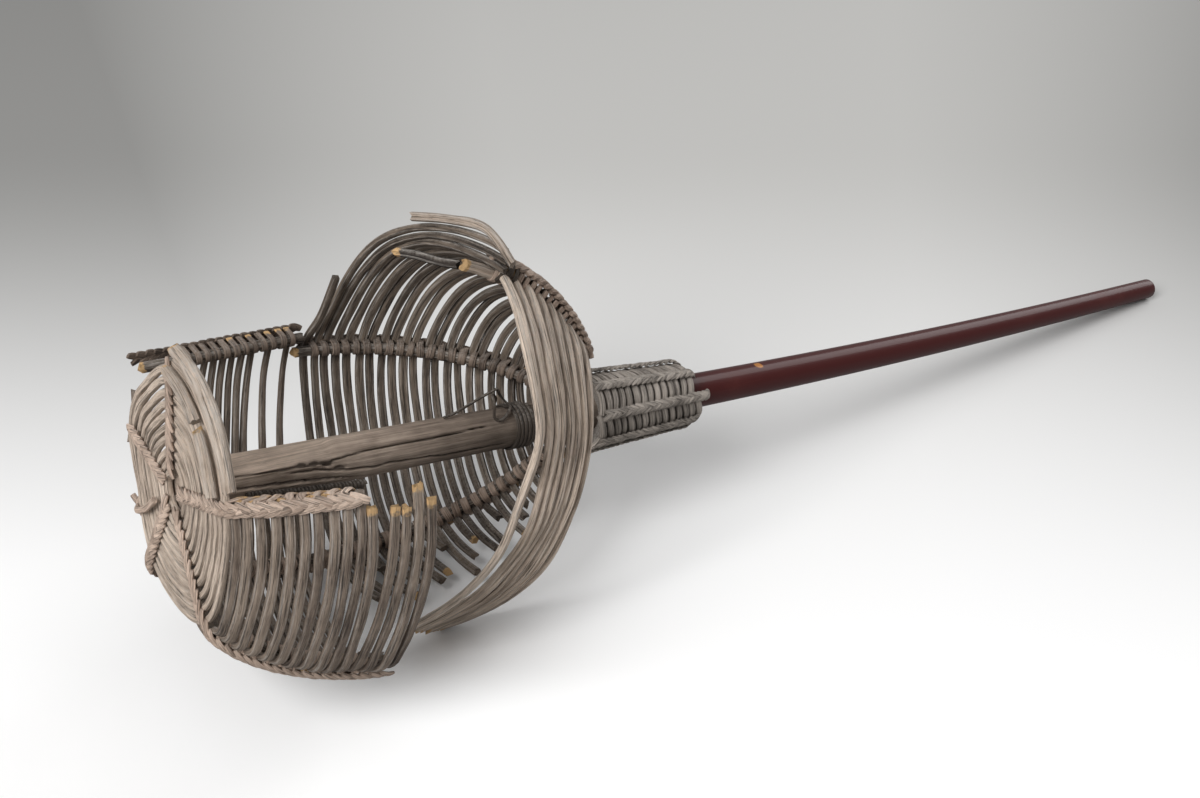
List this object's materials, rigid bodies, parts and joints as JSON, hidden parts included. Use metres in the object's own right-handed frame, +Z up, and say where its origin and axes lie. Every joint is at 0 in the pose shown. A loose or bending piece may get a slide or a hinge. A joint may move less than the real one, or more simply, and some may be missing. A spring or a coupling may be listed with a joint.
{
  "type": "basket rattle on a stick",
  "caption": "Old wicker basket rattle on a tapered lacquered stick: a cage of bent cane rods bound with plaited strips, with a coiled flat end and a plaited collar, broken open above.",
  "frame": {"origin": "middle of the part's box, at its lowest point, which is the ground that it lies on", "axes": "+X along the stick towards its tip, +Z up, +Y towards the side of the cage that is still closed"},
  "size_m": [0.6622, 0.1934, 0.1844],
  "materials": {
    "lacquered_wood": "dark red-brown lacquer, glossy, worn to raw wood inside the cage",
    "outer_cane": "weathered, grey and matte",
    "inner_cane": "darker grey-brown and matte",
    "plaited_cane": "split cane strips, dusty and matte",
    "bast": "dark fibre, matte"
  },
  "bodies": {
    "root": {"stick": "lacquered_wood", "end_coil": "outer_cane", "border_rod": "outer_cane", "end_knot": "plaited_cane", "top_rib": "inner_cane", "back_rib": "inner_cane", "back_rib_sprung": "inner_cane", "under_rib": "inner_cane", "low_rib": "inner_cane", "front_rib": "inner_cane", "top_plait": "plaited_cane", "back_plait": "plaited_cane", "back_plait_sprung": "plaited_cane", "under_plait": "plaited_cane", "low_plait": "plaited_cane", "front_plait": "plaited_cane", "top_end_plait": "plaited_cane", "back_end_plait": "plaited_cane", "cage_rod_01": "outer_cane", "cage_rod_02": "outer_cane", "cage_rod_03": "outer_cane", "cage_rod_04": "outer_cane", "cage_rod_05": "outer_cane", "cage_rod_06": "outer_cane", "cage_rod_07": "outer_cane", "cage_rod_08": "outer_cane", "cage_rod_09": "outer_cane", "cage_rod_10": "outer_cane", "cage_rod_11": "outer_cane", "cage_rod_12": "outer_cane", "cage_rod_13": "outer_cane", "cage_rod_14": "outer_cane", "bowl_rod_01": "inner_cane", "bowl_rod_02": "inner_cane", "bowl_rod_03": "inner_cane", "bowl_rod_04": "inner_cane", "bowl_rod_05": "inner_cane", "bowl_rod_06": "inner_cane", "bowl_rod_07": "inner_cane", "bowl_rod_08": "inner_cane", "bowl_rod_09": "inner_cane", "bowl_rod_10": "inner_cane", "bowl_rod_11": "inner_cane", "bowl_rod_12": "inner_cane", "bowl_rod_13": "inner_cane", "bowl_rod_14": "inner_cane", "bowl_rod_15": "inner_cane", "bowl_rod_16": "inner_cane", "bowl_rod_17": "inner_cane", "bowl_rod_18": "inner_cane", "bowl_rod_19": "inner_cane", "bowl_rod_20": "inner_cane", "bowl_rod_21": "inner_cane", "bowl_rod_22": "inner_cane", "bowl_rod_23": "inner_cane", "bowl_rod_24": "inner_cane", "bowl_rod_25": "inner_cane", "loose_rod": "outer_cane", "collar": "plaited_cane", "grip_lashing": "bast"}
  },
  "joints": []
}
